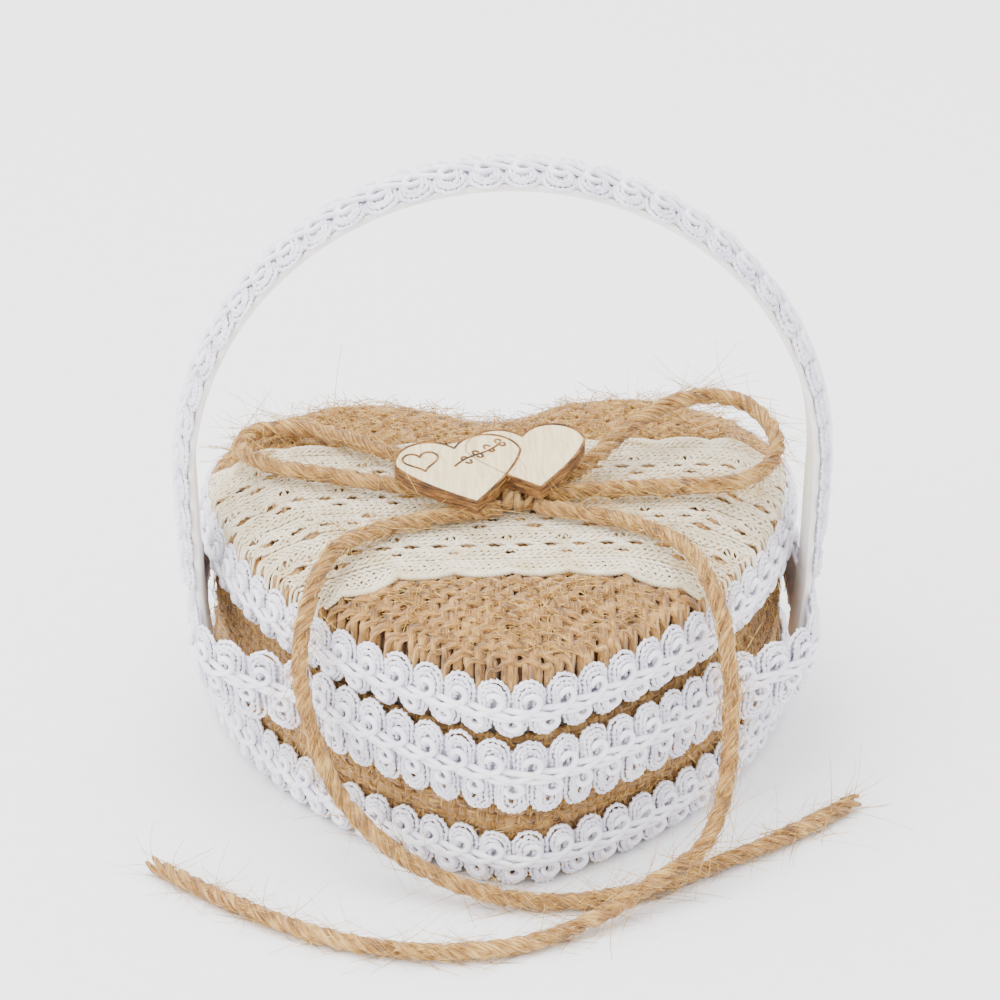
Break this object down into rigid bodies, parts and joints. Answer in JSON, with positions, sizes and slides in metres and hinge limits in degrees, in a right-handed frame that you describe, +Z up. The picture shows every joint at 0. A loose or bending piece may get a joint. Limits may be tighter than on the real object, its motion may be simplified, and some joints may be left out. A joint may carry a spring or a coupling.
{
  "type": "heart-shaped ring box",
  "caption": "Heart-shaped burlap ring box with a padded hinged lid, white gimp braid, an arched handle, a lace band, a twine bow and wooden hearts.",
  "frame": {"origin": "under the middle of the object, on the surface that it stands on", "axes": "+Z up, the heart's point to -Y, the lid's hinge at +Y along X"},
  "size_m": [0.1076, 0.1116, 0.095],
  "materials": {
    "braid": "satin thread",
    "burlap": "coarse weave",
    "card": "matt",
    "felt": "matt",
    "satin": "satin",
    "plastic": "satin",
    "lace": "matt cotton",
    "twine": "matt, fibrous",
    "wood": "bare, laser-cut",
    "tape": "matt cotton",
    "paper": "matt",
    "wadding": "matt"
  },
  "bodies": {
    "box": {"base_felt": "felt", "base_board": "card", "body_wall": "card", "body_burlap": "burlap", "inner_neck": "card", "ring_cushion": "satin", "body_upper_braid": "braid", "body_lower_braid": "braid", "handle_band": "plastic", "handle_braid": "braid", "hinge_tape_body": "tape"},
    "lid": {"lid_lining": "paper", "lid_board": "card", "lid_padding": "wadding", "lid_cover": "burlap", "lid_braid": "braid", "lace_band": "lace", "hinge_tape_lid": "tape", "bow_knot": "twine", "bow_loop_left": "twine", "bow_loop_right": "twine", "twine_tail_left": "twine", "twine_tail_right": "twine", "wooden_hearts": "wood"}
  },
  "joints": [
    {"name": "lid_hinge", "type": "hinge", "parent": "box", "child": "lid", "pos_m": [0, 0.04645, 0.0274], "axis": [-1, 0, 0], "range_deg": [0, 36]}
  ]
}
